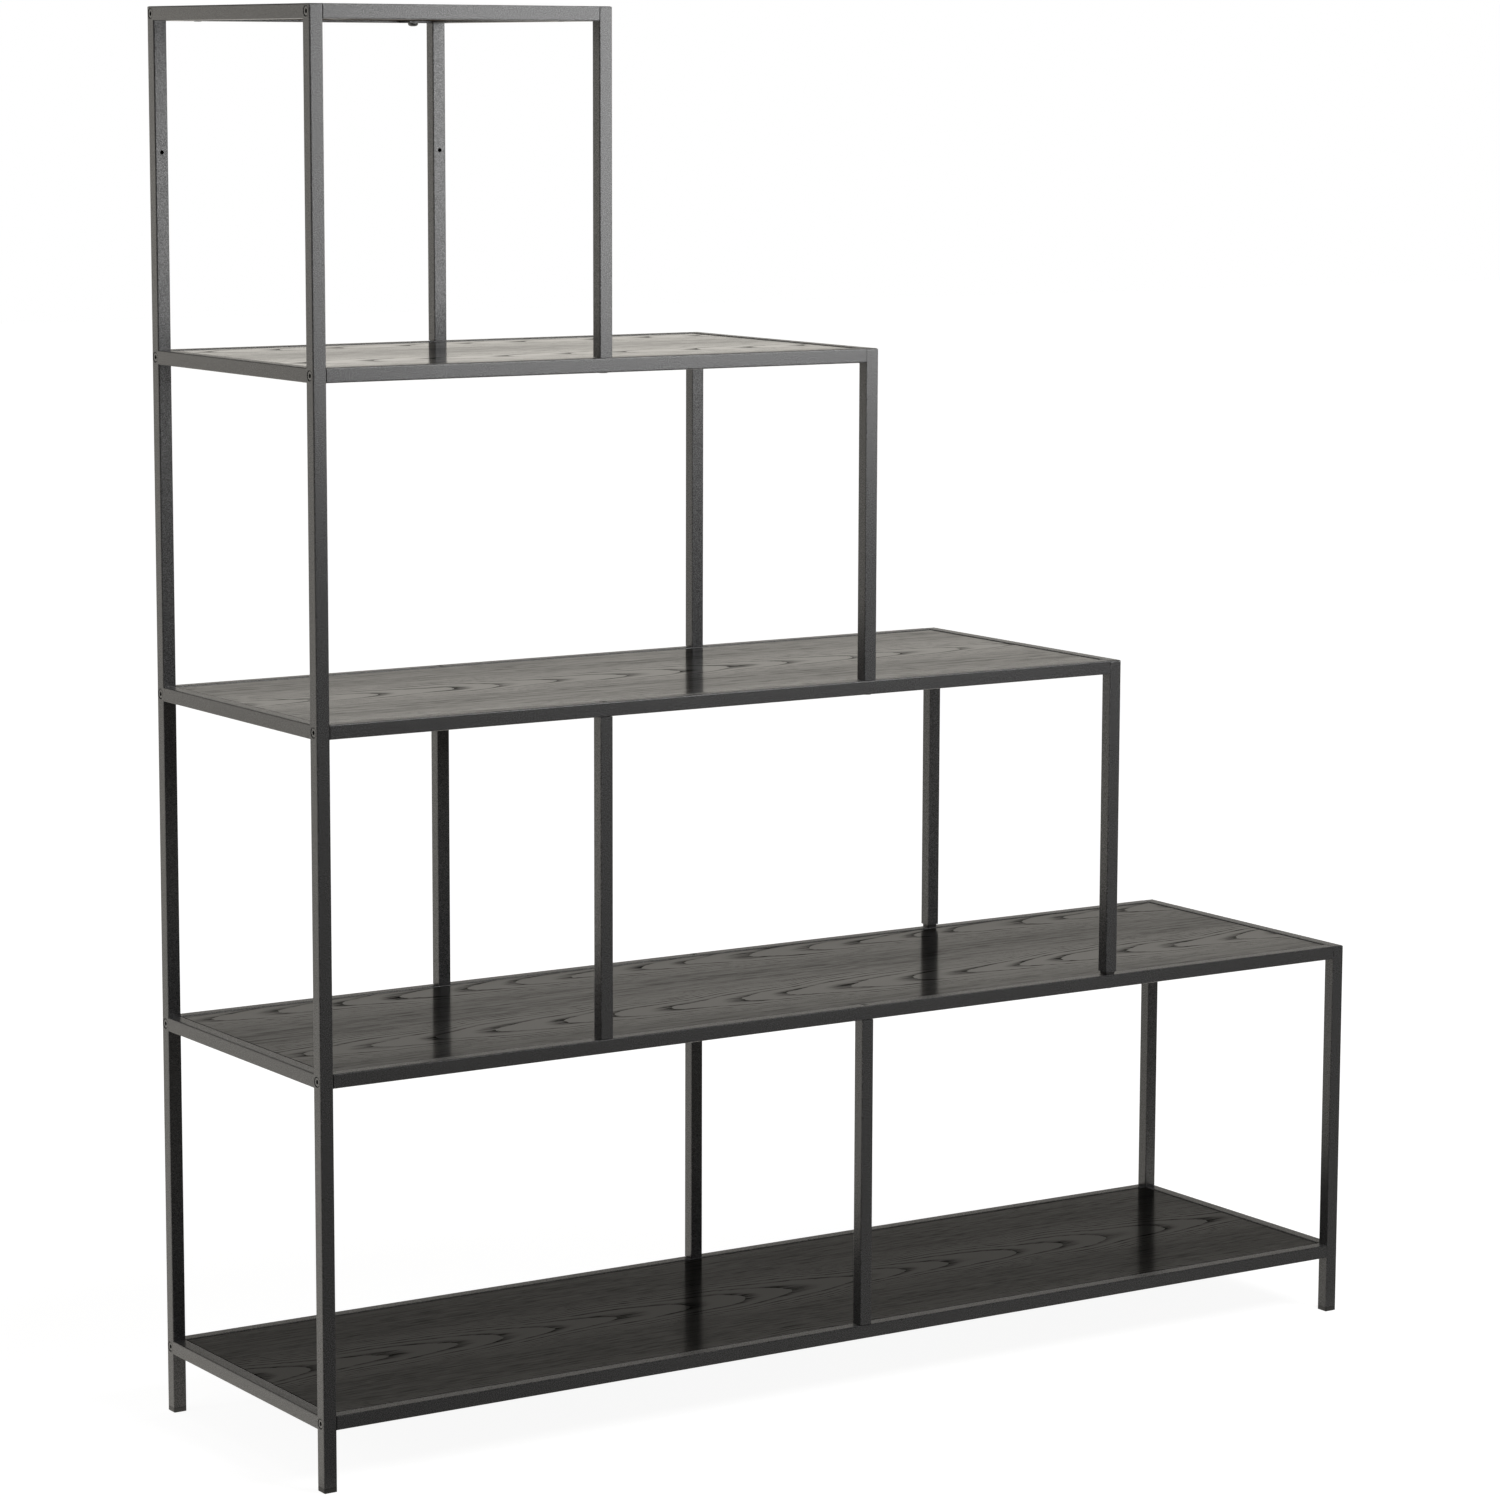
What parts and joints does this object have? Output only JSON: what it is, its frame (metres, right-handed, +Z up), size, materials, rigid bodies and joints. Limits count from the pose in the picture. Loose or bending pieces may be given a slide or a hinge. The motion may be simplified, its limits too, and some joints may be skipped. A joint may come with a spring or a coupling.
{
  "type": "staircase bookshelf",
  "caption": "Free-standing open bookshelf whose shelves step down to one side: a bolted square steel tube frame with inset wood-look panels.",
  "frame": {"origin": "on the floor at the centre of the outline, under the middle of the lowest shelf", "axes": "+X from the tall end to the low end, +Y from the front to the wall side, +Z up"},
  "size_m": [1.335, 0.36, 1.5],
  "materials": {
    "coated_steel": "fine-textured anthracite powder coat",
    "ash_panel": "dark grey ash-grain melamine, satin",
    "black_plastic": "moulded, matt",
    "screw_steel": "dark zinc"
  },
  "bodies": {
    "root": {"left_end_frame": "coated_steel", "right_end_frame": "coated_steel", "step_frame_1": "coated_steel", "step_frame_2": "coated_steel", "step_frame_3": "coated_steel", "shelf_1_front_rail": "coated_steel", "shelf_1_back_rail": "coated_steel", "shelf_1_panel": "ash_panel", "shelf_2_front_rail": "coated_steel", "shelf_2_back_rail": "coated_steel", "shelf_2_panel": "ash_panel", "shelf_3_front_rail": "coated_steel", "shelf_3_back_rail": "coated_steel", "shelf_3_panel": "ash_panel", "shelf_4_front_rail": "coated_steel", "shelf_4_back_rail": "coated_steel", "shelf_4_panel": "ash_panel", "shelf_5_front_rail": "coated_steel", "shelf_5_back_rail": "coated_steel", "shelf_5_panel": "ash_panel", "middle_post_1_front": "coated_steel", "middle_post_1_back": "coated_steel", "middle_post_2_front": "coated_steel", "middle_post_2_back": "coated_steel", "foot_left_front": "black_plastic", "foot_left_back": "black_plastic", "foot_right_front": "black_plastic", "foot_right_back": "black_plastic", "step_3_front_spacer": "black_plastic", "step_3_back_spacer": "black_plastic", "shelf_1_front_left_screw": "screw_steel", "shelf_1_front_right_screw": "screw_steel", "shelf_1_back_left_screw": "screw_steel", "shelf_1_back_right_screw": "screw_steel", "shelf_2_front_left_screw": "screw_steel", "shelf_2_front_right_screw": "screw_steel", "shelf_2_back_left_screw": "screw_steel", "shelf_2_back_right_screw": "screw_steel", "shelf_3_front_left_screw": "screw_steel", "shelf_3_front_right_screw": "screw_steel", "shelf_3_back_left_screw": "screw_steel", "shelf_3_back_right_screw": "screw_steel", "shelf_4_front_left_screw": "screw_steel", "shelf_4_front_right_screw": "screw_steel", "shelf_4_back_left_screw": "screw_steel", "shelf_4_back_right_screw": "screw_steel", "shelf_5_front_left_screw": "screw_steel", "shelf_5_front_right_screw": "screw_steel", "shelf_5_back_left_screw": "screw_steel", "shelf_5_back_right_screw": "screw_steel", "middle_post_1_front_screw": "screw_steel", "middle_post_1_back_screw": "screw_steel", "middle_post_2_front_screw": "screw_steel", "middle_post_2_back_screw": "screw_steel", "step_1_front_screw": "screw_steel", "step_1_back_screw": "screw_steel", "step_2_front_screw": "screw_steel", "step_2_back_screw": "screw_steel", "step_3_front_screw": "screw_steel", "step_3_back_screw": "screw_steel"}
  },
  "joints": []
}
